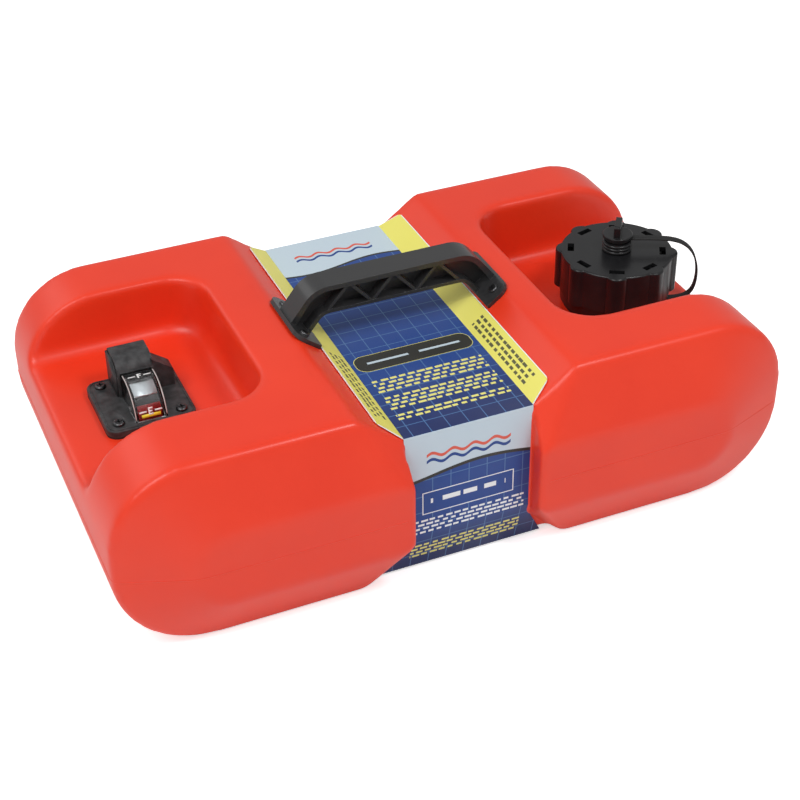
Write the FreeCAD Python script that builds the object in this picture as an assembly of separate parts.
"""Portable outboard fuel tank of about three US gallons, in millimetres.

X runs along the tank, Y from its front to its back and Z up. The origin is on the ground under the middle
of the tank. The gauge sits in the recess at the -X end and the filler cap in the recess at the +X end.
"""
import math
import os

import FreeCAD
import Part

V = FreeCAD.Vector

# Tank body, outside
tank_length = 480.0
tank_height = 137.6
ridge_half_width = 129.2
band_half_width = 148.0
band_end_distance = 50.0
band_bottom, band_top = 38.0, 90.0
band_end_radius = 24.0
band_near, band_chamfer, band_fillet = 44.0, 5.0, 3.0
end_top_radius, end_bottom_radius = 57.0, 62.0
wall = 4.0
base_recess = 1.6
base_rim, base_corner_radius = 16.0, 20.0
blend_radius = 10.0

# Waist and its channel
channel_floor = 114.5
channel_floor_half = 46.4
channel_crest_half = 77.0
crest_radius = 12.0
waist_edge_radius, channel_fillet, foot_fillet = 6.0, 2.0, 1.0
waist_underside = 2.6
waist_tuck_height, waist_tuck_depth = 34.0, 9.0
lobe_foot_half, lobe_foot_height = 72.0, 26.0

# Gauge recess at the -X end
gauge_floor = 94.0
gauge_recess_length = 127.0
gauge_recess_front, gauge_recess_back = -74.0, 85.0
# Filler recess at the +X end
filler_floor = 86.0
filler_recess_length = 140.0
filler_recess_front, filler_recess_back = -80.0, 84.0
recess_corner_radius = 28.0
recess_floor_radius = 10.0
over_cut = 20.0

# Carrying handle
grip_top = 162.0
grip_width = 20.6
grip_shoulder = 58.5
grip_shoulder_radius = 22.0
grip_bottom = 141.0
grip_bottom_half = 52.0
grip_bottom_radius = 10.0
flange_top, flange_bottom, web = 3.6, 2.6, 3.0
rib_thickness = 2.2
rib_count = 6
rib_inset = 0.8
ear_length_y = 58.0
ear_thickness = 3.0
ear_inner, ear_width = 62.5, 16.5
ear_corner_radius = 9.0
rivet_radius, rivet_head_radius, rivet_head_height = 2.0, 3.4, 1.6
rivet_spacing = 40.0
rivet_depth = 5.5

# Card sleeve round the waist
card = 0.6
card_gap = 0.2
card_half_width = 45.6
card_foot_half, card_flare_height = 59.0, 27.0
flap_reach = 61.0
flap_cut, flap_corner_radius = 8.0, 6.0

# Gauge head
gauge_end_distance, gauge_y = 60.8, 4.0
plate_length, plate_width, plate_thickness = 61.0, 63.6, 4.5
plate_corner, plate_edge_radius = 8.0, 1.0
gasket_thickness = 1.5
gauge_hole_radius = 25.0
spigot_y = 1.4
spigot_clearance = 0.6
spigot_depth = 8.0
screw_pitch_x, screw_pitch_y = 42.8, 46.4
screw_radius, screw_length = 2.0, 12.0
screw_head_radius, screw_head_height = 3.8, 2.2
screw_boss_radius, screw_boss_depth = 5.0, 9.0
drum_axis_y, drum_axis_lift = 0.4, 2.0
lens_radius, lens_wall, lens_width, lens_clearance = 24.0, 1.5, 21.5, 0.2
drum_radius, drum_rim, drum_width = 20.5, 1.8, 16.0
hub_radius, axle_radius, axle_seat = 5.0, 1.5, 3.5
running_gap = 0.08
hood_front, hood_back, hood_height = 9.5, 35.0, 26.5
hood_width = 25.0
hood_nose_radius, hood_back_radius = 12.0, 4.0
wing_width, wing_outer_height, wing_inner_height = 13.4, 13.0, 23.5
wing_back = 22.0
port_radius, port_depth = 5.6, 10.0
port_height, port_edge = 9.5, 2.0
port_relief_radius = 8.5

# Float and pickup
arm_radius, arm_rest_angle = 1.5, 65.0
float_radius, float_length, float_bore_depth = 13.0, 40.0, 8.0
float_floor_gap, float_edge_radius = 4.8954, 2.0
press_gap, tube_gap = 0.02, 0.05
pickup_offset_x, pickup_offset_y = 15.2, 9.0
pickup_radius, pickup_bore = 4.0, 2.8
pickup_foot = 9.0
strainer_radius, strainer_length, strainer_wall = 8.0, 20.0, 1.2
strainer_slots = 8

# Filler neck and cap
cap_end_distance, cap_y = 60.0, 2.0
neck_radius, neck_wall, neck_top = 31.0, 4.0, 118.0
cap_gasket_thickness = 2.0
insert_wall, insert_plate = 4.4, 3.0
thread_gap, cap_seat_gap, insert_gap = 0.35, 0.2, 0.15
cap_top = 130.0
cap_plate, cap_wall = 3.0, 3.4
cap_root_radius = 40.6
cap_lobe_reach = 44.0
cap_lobe_radius = 8.0
lobe_count = 8
cap_phase = 16.0
cap_skirt_bottom = 100.0
collar_radius, collar_bottom = 39.4, 91.0
window_length, window_width = 11.0, 4.6
stack_radius, stack_height = 9.6, 8.4
stack_rib, stack_ribs = 1.3, 3
vent_stem_radius = 4.0
knob_disc_radius, knob_disc = 10.8, 3.0
knob_collar_radius, knob_collar = 5.8, 1.9
knob_grip_length, knob_grip_width, knob_grip_height = 17.0, 4.6, 9.0
knob_grip_angle = 55.0
vent_groove_radius, vent_ring_section = 3.0, 0.95
valve_radius, valve_depth = 7.0, 6.0

# Tether from the neck to the vent knob
strap_width, strap_thickness = 6.0, 1.3
tether_ring_width, tether_ring_height, eye_width = 7.0, 3.2, 3.6
tether_gap = 0.3
tether_angle = -24.0
tether_reach = 62.0

band_half_length = tank_length / 2 - band_end_distance
gauge_recess_inner = tank_length / 2 - gauge_recess_length
filler_recess_inner = tank_length / 2 - filler_recess_length
gauge_x = gauge_end_distance - tank_length / 2
cap_x = tank_length / 2 - cap_end_distance
pickup_x, pickup_y = gauge_x + pickup_offset_x, gauge_y + pickup_offset_y
ear_outer = ear_inner + ear_width
drum_axis_z = gauge_floor + drum_axis_lift
float_rest_height = wall + base_recess + float_floor_gap + float_radius
arm_length = (drum_axis_z - float_rest_height) / math.sin(math.radians(arm_rest_angle))
gasket_top = gauge_floor + gasket_thickness
plate_top = gasket_top + plate_thickness
slope_angle = math.degrees(math.atan2(tank_height - channel_floor, channel_crest_half - channel_floor_half))


def corner_points(corners):
    """For each (u, v, radius) corner of a closed outline: the start, middle and end of its arc."""
    found = []
    for i, (u, v, radius) in enumerate(corners):
        here = V(u, v, 0)
        back = V(*corners[i - 1][:2], 0).sub(here)
        ahead = V(*corners[(i + 1) % len(corners)][:2], 0).sub(here)
        half = back.getAngle(ahead) / 2
        back.normalize()
        ahead.normalize()
        reach = radius / math.tan(half)
        bisector = back.add(ahead)
        bisector.normalize()
        middle = here.add(bisector * (radius / math.sin(half) - radius))
        found.append((here.add(back * reach), middle, here.add(ahead * reach)))
    return found


def outline(corners, place):
    """A closed wire round (u, v, radius) corners; place(u, v) turns each point into its place in space."""
    arcs = corner_points(corners)
    edges = []
    for i, (start, middle, end) in enumerate(arcs):
        previous = arcs[i - 1][2]
        if previous.distanceToPoint(start) > 1e-6:
            edges.append(Part.LineSegment(place(previous.x, previous.y), place(start.x, start.y)).toShape())
        if start.distanceToPoint(end) > 1e-6:
            arc = Part.Arc(place(start.x, start.y), place(middle.x, middle.y), place(end.x, end.y))
            edges.append(arc.toShape())
    return Part.Wire(edges)


def side_prism(corners, y_from, y_to):
    """A prism along Y over an outline in X and Z."""
    face = Part.Face(outline(corners, lambda u, v: V(u, y_from, v)))
    return face.extrude(V(0, y_to - y_from, 0))


def end_prism(corners, x_from, x_to):
    """A prism along X over an outline in Y and Z."""
    face = Part.Face(outline(corners, lambda u, v: V(x_from, u, v)))
    return face.extrude(V(x_to - x_from, 0, 0))


def plan_prism(corners, z_from, z_to):
    """A prism along Z over an outline in X and Y."""
    face = Part.Face(outline(corners, lambda u, v: V(u, v, z_from)))
    return face.extrude(V(0, 0, z_to - z_from))


def rectangle(u_low, u_high, v_low, v_high, radius=0.0):
    return [(u_low, v_low, radius), (u_high, v_low, radius), (u_high, v_high, radius), (u_low, v_high, radius)]


def rod(radius, start, end):
    """A round bar from one point to another."""
    axis = end.sub(start)
    return Part.makeCylinder(radius, axis.Length, start, axis)


def tube(outer, inner, z_from, z_to, x=0.0, y=0.0):
    """An upright ring."""
    ring = Part.makeCylinder(outer, z_to - z_from, V(x, y, z_from))
    return ring.cut(Part.makeCylinder(inner, z_to - z_from, V(x, y, z_from)))


def mirror_x(shape):
    return shape.mirror(V(0, 0, 0), V(1, 0, 0))


def mirror_y(shape):
    return shape.mirror(V(0, 0, 0), V(0, 1, 0))


def slope_point(x, rise):
    """A point on the channel's right-hand wall at x, lifted square off it by rise."""
    angle = math.radians(slope_angle)
    z = channel_floor + (x - channel_floor_half) * math.tan(angle)
    return x - rise * math.sin(angle), z + rise * math.cos(angle)


def lobe_corners(inset):
    """One lobe's side outline where its bevels start, for the +X lobe."""
    end, top = tank_length / 2 - inset, tank_height - inset
    return [(end, top, end_top_radius - inset), (channel_crest_half + inset, top, crest_radius),
            (channel_floor_half + inset, channel_floor, waist_edge_radius),
            (channel_floor_half + inset, lobe_foot_height, blend_radius), (lobe_foot_half + inset, inset, blend_radius), (end, inset, end_bottom_radius - inset)]


def band_corners(inset):
    """The same lobe's outline at its flat side band, corner for corner."""
    low, high = band_bottom + inset / 2, band_top - inset / 2
    end, near = band_half_length - inset / 2, band_near + inset
    return [(end, high, band_end_radius - inset / 2), (near + band_chamfer, high, band_fillet),
            (near, high - band_chamfer, band_fillet), (near, low + band_chamfer, band_fillet),
            (near + band_chamfer, low, band_fillet),
            (end, low, band_end_radius - inset / 2)]


def lobe_side(inset):
    """The bevelled pad that swells from a lobe's front or back."""
    root = ridge_half_width - inset
    face = band_half_width - inset
    wires = [outline(lobe_corners(inset), lambda u, v: V(u, root, v)),
             outline(band_corners(inset), lambda u, v: V(u, face, v))]
    return Part.makeLoft(wires, True, True)


def core_corners(inset):
    """Side outline of the whole tank between its bevels, with the channel across its top."""
    end, top = tank_length / 2 - inset, tank_height - inset
    crest, floor_half = channel_crest_half + inset / 2, channel_floor_half + inset / 2
    floor, under = channel_floor - inset, waist_underside + inset
    foot = lobe_foot_half + inset
    step = waist_underside
    return [(-end, top, end_top_radius - inset), (-crest, top, crest_radius), (-floor_half, floor, channel_fillet),
            (floor_half, floor, channel_fillet), (crest, top, crest_radius), (end, top, end_top_radius - inset),
            (end, inset, end_bottom_radius - inset), (foot, inset, foot_fillet), (foot - step, under, foot_fillet),
            (-foot + step, under, foot_fillet), (-foot, inset, foot_fillet), (-end, inset, end_bottom_radius - inset)]


def waist_tuck(inset):
    """The wedge that slants the waist's front face in towards its underside."""
    face = ridge_half_width - inset
    wedge = [(-face - 1, 0, 0), (-face + waist_tuck_depth, 0, 0), (-face, waist_tuck_height, 0),
             (-face - 1, waist_tuck_height, 0)]
    half, foot = channel_floor_half + inset, lobe_foot_half + inset
    over = waist_tuck_height + 1
    between_lobes = side_prism([(-foot, -1, 0), (foot, -1, 0), (foot, 0, 0), (half, lobe_foot_height, 0),
                                (half, over, 0), (-half, over, 0), (-half, lobe_foot_height, 0), (-foot, 0, 0)],
                               -face - 2, 0)
    return end_prism(wedge, -foot, foot).common(between_lobes)


def recess(inner, front, back, floor, inset):
    """The pocket in one end of the tank, as the solid that cuts it, for the +X end."""
    outside = tank_length / 2 + over_cut
    corners = [(inner - inset, front - inset, recess_corner_radius), (outside, front - inset, 1.0),
               (outside, back + inset, 1.0), (inner - inset, back + inset, recess_corner_radius)]
    pocket = plan_prism(corners, floor - inset, tank_height + 10)
    bottom = [edge for edge in pocket.Edges if edge.BoundBox.ZMax < floor - inset + 0.01]
    bottom = [edge for edge in bottom if edge.BoundBox.XMin < outside - 1]
    return pocket.makeFillet(recess_floor_radius, bottom)


def recesses(inset):
    gauge = mirror_x(recess(gauge_recess_inner, gauge_recess_front, gauge_recess_back, gauge_floor, inset))
    filler = recess(filler_recess_inner, filler_recess_front, filler_recess_back, filler_floor, inset)
    return [gauge, filler]


def tank_form(inset):
    """The tank's whole form, drawn in by inset on every side."""
    core = side_prism(core_corners(inset), -ridge_half_width + inset, ridge_half_width - inset)
    core = core.cut(waist_tuck(inset)).cut(mirror_y(waist_tuck(inset)))
    back_right = lobe_side(inset)
    back_left = mirror_x(back_right)
    form = core.fuse([back_right, back_left, mirror_y(back_right), mirror_y(back_left)]).removeSplitter()
    for pocket in recesses(inset):
        form = form.cut(pocket)
    return form


def screw_places():
    """Where the four gauge screws stand, as (x, y)."""
    across, along = screw_pitch_x / 2, screw_pitch_y / 2
    return [(gauge_x + i * across, gauge_y + j * along) for i in (-1, 1) for j in (-1, 1)]


def rivet_frames():
    """Foot and direction of each handle rivet, square to the channel's walls."""
    frames = []
    for side in (-1, 1):
        for along in (-rivet_spacing / 2, rivet_spacing / 2):
            middle = (ear_inner + ear_outer) / 2 + 1.0
            x, z = slope_point(middle, 0.0)
            axis = V(-side * math.sin(math.radians(slope_angle)), 0, math.cos(math.radians(slope_angle)))
            frames.append((V(side * x, along, z), axis))
    return frames


def tank_shell():
    """Blow-moulded tank with its neck, screw bosses and shallow recesses under both lobes."""
    shell = tank_form(0.0).cut(tank_form(wall))
    neck = Part.makeCylinder(neck_radius, neck_top - filler_floor + wall, V(cap_x, cap_y, filler_floor - wall))
    bosses = []
    for x, y in screw_places():
        bottom = gauge_floor - screw_boss_depth
        bosses.append(Part.makeCylinder(screw_boss_radius, screw_boss_depth, V(x, y, bottom)))
    shell = shell.fuse([neck] + bosses)
    depth = neck_top + 2 - (filler_floor - wall)
    cuts = [Part.makeCylinder(neck_radius - neck_wall, depth + 1, V(cap_x, cap_y, filler_floor - wall - 1)),
            Part.makeCylinder(gauge_hole_radius, wall * 3, V(gauge_x, spigot_y, gauge_floor - wall * 2))]
    pilot_depth = screw_length - plate_thickness - gasket_thickness + 1.0
    for x, y in screw_places():
        pilot = Part.makeCylinder(screw_radius + running_gap, pilot_depth, V(x, y, gauge_floor - pilot_depth))
        cuts.append(pilot)
    for foot, axis in rivet_frames():
        cuts.append(rod(rivet_radius + running_gap, foot.sub(axis * (rivet_depth + 1)), foot.add(axis)))
    inner = lobe_foot_half + base_rim
    outer = tank_length / 2 - end_bottom_radius - base_rim / 2
    half = ridge_half_width - base_rim
    panel = plan_prism(rectangle(inner, outer, -half, half, base_corner_radius), -1.0, base_recess)
    cuts += [panel, mirror_x(panel)]
    for tool in cuts:
        shell = shell.cut(tool)
    return shell


def handle_side(offset_top, offset_bottom):
    """The handle's side outline, drawn in from its top by one amount and from its underside by another."""
    top, bottom = grip_top - offset_top, grip_bottom + offset_bottom
    foot_x, foot_z = slope_point(ear_outer - 1.5 - offset_top, 1.0)
    inner_x, inner_z = slope_point(ear_inner + 1.0 + offset_bottom, 1.0)
    shoulder = grip_shoulder - offset_top / 2
    elbow = grip_bottom_half + offset_bottom / 2
    radius, inner_radius = grip_shoulder_radius - offset_top, grip_bottom_radius + offset_bottom
    return [(-foot_x, foot_z, 0.0), (-shoulder, top, radius), (shoulder, top, radius), (foot_x, foot_z, 0.0),
            (inner_x, inner_z, 0.0), (elbow, bottom, inner_radius), (-elbow, bottom, inner_radius),
            (-inner_x, inner_z, 0.0)]


def zigzag_rib(from_x, from_z, to_x, to_z, y_from, y_to):
    """One slanting stiffener between the handle's flanges."""
    run = V(to_x - from_x, 0, to_z - from_z)
    square = V(-run.z, 0, run.x)
    square.normalize()
    square = square * (rib_thickness / 2)
    start, end = V(from_x, y_from, from_z), V(to_x, y_from, to_z)
    points = [start.add(square), end.add(square), end.sub(square), start.sub(square), start.add(square)]
    return Part.Face(Part.makePolygon(points)).extrude(V(0, y_to - y_from, 0))


def ear():
    """The flat foot of the handle that lies on the channel's right-hand wall."""
    low, high = slope_point(ear_inner, card_gap), slope_point(ear_outer, card_gap)
    run = V(high[0] - low[0], 0, high[1] - low[1])
    length = run.Length
    plate = plan_prism([(0.0, -ear_length_y / 2, 1.0), (length, -ear_length_y / 2, ear_corner_radius),
                        (length, ear_length_y / 2, ear_corner_radius), (0.0, ear_length_y / 2, 1.0)],
                       0.0, ear_thickness)
    plate.rotate(V(0, 0, 0), V(0, 1, 0), -slope_angle)
    plate.translate(V(low[0], 0, low[1]))
    return plate


def carry_handle():
    """Handle moulded as two flanges on a web, stiffened by zigzag ribs, with a foot at each end."""
    half = grip_width / 2
    body = side_prism(handle_side(0.0, 0.0), -half, half)
    hollow = side_prism(handle_side(flange_top, flange_bottom), web / 2, half + 1.0)
    body = body.cut(hollow).cut(mirror_y(hollow))
    low, high = grip_bottom + flange_bottom / 2, grip_top - flange_top / 2
    first = -grip_bottom_half + 3.0
    pitch = -2 * first / rib_count
    ribs = []
    for i in range(rib_count):
        ends = (low, high) if i % 2 == 0 else (high, low)
        rib = zigzag_rib(first + i * pitch, ends[0], first + (i + 1) * pitch, ends[1], 0.0, half - rib_inset)
        ribs += [rib, mirror_y(rib)]
    right = ear()
    body = body.fuse(ribs + [right, mirror_x(right)])
    for foot, axis in rivet_frames():
        body = body.cut(rod(rivet_radius + running_gap, foot.sub(axis), foot.add(axis * (card_gap + ear_thickness + rivet_head_height + 1))))
    return body


def handle_rivets():
    """Four rivets that hold the handle's feet to the channel walls."""
    rivets = []
    for foot, axis in rivet_frames():
        under_head = foot.add(axis * (card_gap + ear_thickness))
        shank = rod(rivet_radius, foot.sub(axis * rivet_depth), under_head)
        head = rod(rivet_head_radius, under_head, under_head.add(axis * rivet_head_height))
        rim = [edge for edge in head.Edges if edge.Curve.TypeId == "Part::GeomCircle"]
        top = max(rim, key=lambda edge: edge.CenterOfMass.sub(foot).dot(axis))
        rivets.append(shank.fuse(head.makeFillet(rivet_head_height * 0.8, [top])))
    return Part.makeCompound(rivets)


def card_sleeve():
    """The card band: round the waist, with a flap up each wall of the channel."""
    def ring(off):
        face, low = ridge_half_width + off, waist_underside - off
        tucked = face - waist_tuck_depth * (1 - low / waist_tuck_height)
        return [(-tucked, low, 0.0), (tucked, low, 0.0),
                (face, waist_tuck_height, 0.0), (face, channel_floor + off, 0.0),
                (-face, channel_floor + off, 0.0), (-face, waist_tuck_height, 0.0)]
    band = end_prism(ring(card_gap + card), -card_foot_half, card_foot_half)
    band = band.cut(end_prism(ring(card_gap), -card_foot_half - 1, card_foot_half + 1))
    low, far = waist_underside - card_gap - card, ridge_half_width + 10
    blank = side_prism([(-card_foot_half, low, 0), (card_foot_half, low, 0), (card_half_width, card_flare_height, 0),
                        (card_half_width, grip_top, 0), (-card_half_width, grip_top, 0),
                        (-card_half_width, card_flare_height, 0)], -far, far)
    band = band.common(blank)
    fold, tip = slope_point(card_half_width, card_gap), slope_point(flap_reach, card_gap)
    run = V(tip[0] - fold[0], 0, tip[1] - fold[1])
    tip_half = ridge_half_width - flap_cut
    flap = plan_prism([(0.0, -ridge_half_width, 0.0), (run.Length, -tip_half, flap_corner_radius),
                       (run.Length, tip_half, flap_corner_radius), (0.0, ridge_half_width, 0.0)], 0.0, card)
    flap.rotate(V(0, 0, 0), V(0, 1, 0), -slope_angle)
    flap.translate(V(fold[0], 0, channel_floor + card_gap))
    return band.fuse([flap, mirror_x(flap)])


def drum_cylinder(radius, width, grow=0.0):
    start = V(gauge_x - width / 2 - grow, drum_axis_y, drum_axis_z)
    return Part.makeCylinder(radius + grow, width + 2 * grow, start, V(1, 0, 0))


def above_plate(shape):
    """What of a shape round the drum stands above the plate."""
    return shape.common(Part.makeBox(2 * lens_width, 4 * lens_radius, 2 * lens_radius,
                                     V(gauge_x - lens_width, drum_axis_y - 2 * lens_radius, plate_top)))


def arm_direction():
    """The float arm at rest, as a unit vector from the drum's axis."""
    angle = math.radians(arm_rest_angle)
    return V(0, -math.cos(angle), -math.sin(angle))


def gauge_base():
    """Gauge plate with its spigot, the hood behind the lens and the wing that carries the fuel port."""
    half_x, half_y = plate_length / 2, plate_width / 2
    plate = plan_prism(rectangle(gauge_x - half_x, gauge_x + half_x, gauge_y - half_y, gauge_y + half_y,
                                 plate_corner), gasket_top, plate_top)
    rim = [edge for edge in plate.Edges if edge.BoundBox.ZMin > plate_top - 0.01]
    plate = plate.makeFillet(plate_edge_radius, rim)
    bottom = gauge_floor - spigot_depth
    spigot = Part.makeCylinder(gauge_hole_radius - spigot_clearance, plate_top - bottom - 1,
                               V(gauge_x, spigot_y, bottom))
    top = plate_top + hood_height
    hood_corners = [(hood_front, plate_top - 1, 0.0), (hood_back, plate_top - 1, 0.0),
                    (hood_back, top, hood_back_radius), (hood_front, top, hood_nose_radius)]
    hood_left = gauge_x - hood_width / 2
    hood = end_prism(hood_corners, hood_left, hood_left + hood_width)
    wing_left, wing_right = hood_left + hood_width - 1, hood_left + hood_width + wing_width
    wing_corners = [(wing_left, plate_top - 1, 0.0), (wing_right, plate_top - 1, 0.0),
                    (wing_right, plate_top + wing_outer_height, 2.0),
                    (wing_left, plate_top + wing_inner_height, 0.0)]
    wing = side_prism(wing_corners, hood_front + 1, wing_back)
    base = plate.fuse([spigot, hood, wing])
    slot_half = lens_width / 2 - lens_wall
    tools = [drum_cylinder(lens_radius - lens_wall, lens_width - 2 * lens_wall),
             above_plate(drum_cylinder(lens_radius, lens_width, lens_clearance)),
             end_prism(rectangle(spigot_y - gauge_hole_radius - 1, drum_axis_y, bottom - 1, gauge_floor - 2.0),
                       gauge_x - slot_half, gauge_x + slot_half)]
    axle_half = drum_width / 2 + axle_seat + 1.0
    tools.append(Part.makeCylinder(axle_radius + press_gap, 2 * axle_half,
                                   V(gauge_x - axle_half, drum_axis_y, drum_axis_z), V(1, 0, 0)))
    port_x = wing_right - port_radius - port_edge
    port_z = plate_top + port_height
    port_end = wing_back - port_depth
    tools.append(Part.makeCylinder(port_radius, port_depth + 1, V(port_x, port_end, port_z), V(0, 1, 0)))
    tools.append(Part.makeCylinder(port_relief_radius, hood_back - wing_back + 1, V(port_x, wing_back, port_z),
                                   V(0, 1, 0)))
    tools.append(rod(pickup_bore, V(port_x, port_end + pickup_bore, port_z),
                     V(pickup_x, pickup_y + pickup_bore / 2, plate_top - 2)))
    tools.append(Part.makeCylinder(pickup_radius + tube_gap, plate_top - 2 - bottom + 1, V(pickup_x, pickup_y, bottom - 1)))
    for x, y in screw_places():
        tools.append(Part.makeCylinder(screw_radius + running_gap, plate_thickness + 2, V(x, y, gasket_top - 1)))
    for tool in tools:
        base = base.cut(tool)
    return base


def gauge_gasket():
    half_x, half_y = plate_length / 2, plate_width / 2
    sheet = plan_prism(rectangle(gauge_x - half_x, gauge_x + half_x, gauge_y - half_y, gauge_y + half_y,
                                 plate_corner), gauge_floor, gasket_top)
    sheet = sheet.cut(Part.makeCylinder(gauge_hole_radius, 20, V(gauge_x, spigot_y, gauge_floor - 5)))
    for x, y in screw_places():
        sheet = sheet.cut(Part.makeCylinder(screw_radius + running_gap, 20, V(x, y, gauge_floor - 5)))
    return sheet


def gauge_screws():
    """Pan-head screws with a cross recess, down through plate and gasket into the tank's bosses."""
    screws = []
    for x, y in screw_places():
        head = Part.makeCylinder(screw_head_radius, screw_head_height, V(x, y, plate_top))
        rim = [edge for edge in head.Edges if edge.BoundBox.ZMin > plate_top + screw_head_height - 0.01]
        head = head.makeFillet(screw_head_height * 0.6, rim)
        depth = screw_head_height * 0.6
        for length, width in ((4.4, 1.0), (1.0, 4.4)):
            corner = V(x - length / 2, y - width / 2, plate_top + screw_head_height - depth)
            head = head.cut(Part.makeBox(length, width, depth + 1, corner))
        shank = Part.makeCylinder(screw_radius, screw_length, V(x, y, plate_top - screw_length))
        screws.append(head.fuse(shank))
    return Part.makeCompound(screws)


def gauge_lens():
    """Clear arched window over the indicator drum."""
    shell = drum_cylinder(lens_radius, lens_width)
    shell = shell.cut(drum_cylinder(lens_radius - lens_wall, lens_width - 2 * lens_wall))
    return above_plate(shell)


def gauge_drum():
    """Indicator drum: a rim and one side web on a hub, with the socket for the float arm."""
    drum = drum_cylinder(drum_radius, drum_width)
    left = gauge_x - drum_width / 2
    inner = Part.makeCylinder(drum_radius - drum_rim, drum_width, V(left + drum_rim, drum_axis_y, drum_axis_z),
                              V(1, 0, 0))
    drum = drum.cut(inner)
    hub = Part.makeCylinder(hub_radius, drum_width, V(left, drum_axis_y, drum_axis_z), V(1, 0, 0))
    drum = drum.fuse(hub)
    drum = drum.cut(Part.makeCylinder(axle_radius + running_gap, drum_width + 2, V(left - 1, drum_axis_y, drum_axis_z),
                                      V(1, 0, 0)))
    centre = V(gauge_x, drum_axis_y, drum_axis_z)
    socket = rod(arm_radius + press_gap, centre.add(arm_direction() * (hub_radius - 1.5)),
                 centre.add(arm_direction() * (drum_radius + 1)))
    return drum.cut(socket)


def drum_axle():
    half = drum_width / 2 + axle_seat
    return Part.makeCylinder(axle_radius, 2 * half, V(gauge_x - half, drum_axis_y, drum_axis_z), V(1, 0, 0))


def float_arm():
    centre = V(gauge_x, drum_axis_y, drum_axis_z)
    return rod(arm_radius, centre.add(arm_direction() * (hub_radius - 1.2)),
               centre.add(arm_direction() * (arm_length - float_radius + float_bore_depth)))


def gauge_float():
    """Foam float across the end of its arm."""
    centre = V(gauge_x, drum_axis_y, drum_axis_z)
    middle = centre.add(arm_direction() * arm_length)
    start = middle.sub(V(float_length / 2, 0, 0))
    body = Part.makeCylinder(float_radius, float_length, start, V(1, 0, 0))
    rims = [edge for edge in body.Edges if edge.Curve.TypeId == "Part::GeomCircle"]
    body = body.makeFillet(float_edge_radius, rims)
    bore = rod(arm_radius + press_gap, middle.sub(arm_direction() * (float_radius + 2)),
               middle.sub(arm_direction() * (float_radius - float_bore_depth - 0.3)))
    return body.cut(bore)


def pickup_tube():
    bottom = pickup_foot + wall
    outer = Part.makeCylinder(pickup_radius, plate_top - 2.2 - bottom, V(pickup_x, pickup_y, bottom))
    return outer.cut(Part.makeCylinder(pickup_bore, plate_top - bottom, V(pickup_x, pickup_y, bottom - 1)))


def pickup_strainer():
    """Slotted strainer cup pushed over the foot of the pickup tube."""
    bottom = wall + 2.0
    cup = Part.makeCylinder(strainer_radius, strainer_length, V(pickup_x, pickup_y, bottom))
    inner = Part.makeCylinder(strainer_radius - strainer_wall, strainer_length - 2 * strainer_wall,
                              V(pickup_x, pickup_y, bottom + strainer_wall))
    cup = cup.cut(inner)
    cup = cup.cut(Part.makeCylinder(pickup_radius + tube_gap, strainer_length,
                                    V(pickup_x, pickup_y, bottom + strainer_length / 2)))
    for i in range(strainer_slots):
        slot = Part.makeBox(strainer_radius, 1.6, strainer_length * 0.6,
                            V(pickup_x + strainer_radius * 0.6, pickup_y - 0.8, bottom + 3))
        slot.rotate(V(pickup_x, pickup_y, 0), V(0, 0, 1), 360.0 * i / strainer_slots)
        cup = cup.cut(slot)
    return cup


gasket_bottom = neck_top
insert_bottom_of_plate = neck_top + cap_gasket_thickness
insert_top = insert_bottom_of_plate + insert_plate
insert_inner = neck_radius + thread_gap
insert_outer = insert_inner + insert_wall
stack_top = cap_top + stack_height
knob_bottom = stack_top + knob_collar
knob_top = knob_bottom + knob_disc


def cap_gasket():
    return tube(neck_radius, neck_radius - neck_wall, gasket_bottom, insert_bottom_of_plate, cap_x, cap_y)


def cap_insert():
    """Inner cap that screws down on the neck and carries the gasket, the vent seat and the relief valve."""
    outer = Part.makeCylinder(insert_outer, insert_top - collar_bottom - 1, V(cap_x, cap_y, collar_bottom + 1))
    bore = Part.makeCylinder(insert_inner, insert_bottom_of_plate - collar_bottom,
                             V(cap_x, cap_y, collar_bottom))
    seat = Part.makeCylinder(vent_stem_radius + 3.0, cap_top - cap_plate - cap_seat_gap - insert_top + 1,
                             V(cap_x, cap_y, insert_top - 1))
    insert = outer.cut(bore).fuse(seat)
    for i in range(lobe_count * 2):
        rib = Part.makeBox(insert_outer - 12.0, 1.6, cap_top - cap_plate - cap_seat_gap - insert_top + 0.5,
                           V(cap_x + 9.0, cap_y - 0.8, insert_top - 0.5))
        rib.rotate(V(cap_x, cap_y, 0), V(0, 0, 1), 360.0 * i / (lobe_count * 2))
        insert = insert.fuse(rib)
    return insert.cut(Part.makeCylinder(vent_stem_radius + running_gap, stack_top - insert_bottom_of_plate,
                                        V(cap_x, cap_y, insert_bottom_of_plate - 1)))


def lobed(root, reach, lobe, z_from, z_to):
    """The cap's grip: a round body with evenly spaced rounded lobes."""
    body = Part.makeCylinder(root, z_to - z_from, V(cap_x, cap_y, z_from))
    lobes = []
    for i in range(lobe_count):
        angle = math.radians(cap_phase + 360.0 * i / lobe_count)
        middle = reach - lobe
        place = V(cap_x + middle * math.cos(angle), cap_y + middle * math.sin(angle), z_from)
        lobes.append(Part.makeCylinder(lobe, z_to - z_from, place))
    return body.fuse(lobes).removeSplitter()


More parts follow.
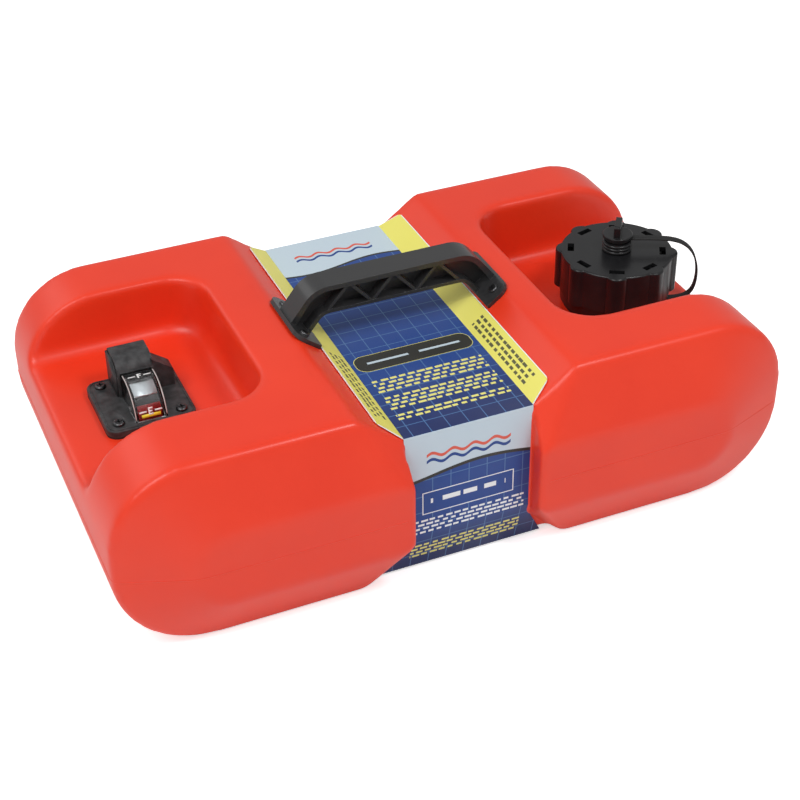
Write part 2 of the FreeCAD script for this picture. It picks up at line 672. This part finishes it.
def cap_shell():
    """Outer cap with its grip lobes, the windows over the lobes and the ribbed vent stack."""
    shell = lobed(cap_root_radius, cap_lobe_reach, cap_lobe_radius, cap_skirt_bottom, cap_top)
    top_rim = [edge for edge in shell.Edges if edge.BoundBox.ZMin > cap_top - 0.01]
    shell = shell.makeFillet(1.6, top_rim)
    collar = Part.makeCylinder(collar_radius, cap_skirt_bottom - collar_bottom + 1, V(cap_x, cap_y, collar_bottom))
    shell = shell.fuse(collar)
    shell = shell.cut(Part.makeCylinder(insert_outer + insert_gap, cap_top - cap_plate - collar_bottom + 1,
                                        V(cap_x, cap_y, collar_bottom - 1)))
    stack = Part.makeCylinder(stack_radius, stack_height + 1, V(cap_x, cap_y, cap_top - 1))
    pitch = (stack_height - 1.0) / stack_ribs
    rings = [Part.makeTorus(stack_radius - 0.2, stack_rib, V(cap_x, cap_y, cap_top + 1.4 + i * pitch))
             for i in range(stack_ribs)]
    shell = shell.fuse([stack] + rings)
    shell = shell.cut(Part.makeCylinder(vent_stem_radius + running_gap, 60, V(cap_x, cap_y, cap_top - 20)))
    for i in range(lobe_count):
        window = Part.makeBox(window_width, window_length, cap_plate * 2,
                              V(cap_x + insert_outer - window_width - 0.4, cap_y - window_length / 2,
                                cap_top - cap_plate * 1.5))
        window.rotate(V(cap_x, cap_y, 0), V(0, 0, 1), cap_phase + 360.0 * i / lobe_count)
        shell = shell.cut(window)
    return shell


def relief_valve():
    """Rubber relief valve pushed up under the inner cap."""
    top = insert_bottom_of_plate
    return tube(valve_radius, vent_stem_radius + 0.4, top - valve_depth, top, cap_x, cap_y)


def vent_knob():
    """Vent screw: a disc with a wing grip, on a stem that runs down through the cap."""
    disc = Part.makeCylinder(knob_disc_radius, knob_disc, V(cap_x, cap_y, knob_bottom))
    rim = [edge for edge in disc.Edges if edge.Curve.TypeId == "Part::GeomCircle"]
    disc = disc.makeFillet(0.8, rim)
    collar = Part.makeCylinder(knob_collar_radius, knob_collar + 1, V(cap_x, cap_y, stack_top + 0.1))
    stem = Part.makeCylinder(vent_stem_radius, stack_top + 1 - insert_bottom_of_plate,
                             V(cap_x, cap_y, insert_bottom_of_plate))
    half, grip_high = knob_grip_length / 2, knob_top + knob_grip_height
    grip = side_prism([(-half, knob_top - 1, 0.0), (half, knob_top - 1, 0.0), (half, grip_high, 2.0),
                       (-half, grip_high, 2.0)], -knob_grip_width / 2, knob_grip_width / 2)
    grip.rotate(V(0, 0, 0), V(0, 0, 1), knob_grip_angle)
    grip.translate(V(cap_x, cap_y, 0))
    knob = disc.fuse([collar, stem, grip])
    groove = Part.makeTorus(vent_groove_radius, vent_ring_section + 0.2, V(cap_x, cap_y, cap_top - 1))
    return knob.cut(groove)


def vent_o_ring():
    """Seal round the vent stem, inside the stack."""
    return Part.makeTorus(vent_groove_radius, vent_ring_section, V(cap_x, cap_y, cap_top - 1))


def cap_tether():
    """One soft moulding: a ring round the neck, a strap outside the cap and an eye under the vent knob."""
    ring_top = collar_bottom - 2 * tether_gap
    ring_bottom = ring_top - tether_ring_height
    ring = tube(neck_radius + tether_ring_width, neck_radius + tether_gap, ring_bottom, ring_top, cap_x, cap_y)
    eye_bottom = stack_top + tether_gap
    eye = tube(knob_collar_radius + eye_width, knob_collar_radius + tether_gap, eye_bottom,
               eye_bottom + strap_thickness, cap_x, cap_y)
    inner = [(knob_collar_radius + 2.0, eye_bottom), (tether_reach * 0.62, eye_bottom),
             (tether_reach, eye_bottom - 18), (tether_reach, ring_bottom), (neck_radius + 5.0, ring_bottom)]
    half = strap_width / 2
    radii = [0.0, 20.0, 20.0, 9.0, 0.0]
    t = strap_thickness
    upper = [(inner[0][0], eye_bottom + t, 0.0), (inner[1][0] + t / 2, eye_bottom + t, radii[1] + t),
             (inner[2][0] + t, inner[2][1] + t / 4, radii[2]), (inner[3][0] + t, inner[3][1], radii[3] + t),
             (inner[4][0], inner[4][1], 0.0)]
    lower = [(inner[4][0], inner[4][1] + t, 0.0), (inner[3][0], inner[3][1] + t, radii[3]),
             (inner[2][0], inner[2][1], radii[2]), (inner[1][0], eye_bottom, radii[1]), (inner[0][0], eye_bottom, 0.0)]
    strap = side_prism(upper + lower, -half, half)
    strap.rotate(V(0, 0, 0), V(0, 0, 1), tether_angle)
    strap.translate(V(cap_x, cap_y, 0))
    return ring.fuse([eye, strap])


nodes = {
    "tank_shell": tank_shell, "carry_handle": carry_handle, "handle_rivets": handle_rivets,
    "card_sleeve": card_sleeve, "gauge_base": gauge_base, "gauge_gasket": gauge_gasket,
    "gauge_screws": gauge_screws, "gauge_lens": gauge_lens, "gauge_drum": gauge_drum, "drum_axle": drum_axle,
    "float_arm": float_arm, "gauge_float": gauge_float, "pickup_tube": pickup_tube,
    "pickup_strainer": pickup_strainer, "cap_gasket": cap_gasket, "cap_insert": cap_insert,
    "cap_shell": cap_shell, "relief_valve": relief_valve, "vent_knob": vent_knob, "vent_o_ring": vent_o_ring,
    "cap_tether": cap_tether,
}

os.makedirs("parts", exist_ok=True)
for name, make in nodes.items():
    shape = make()
    shape.exportStep(f"parts/{name}.step")
    print(f"{name}: {len(shape.Solids)} solids, {shape.Volume / 1000:.1f} cm3, valid {shape.isValid()}")
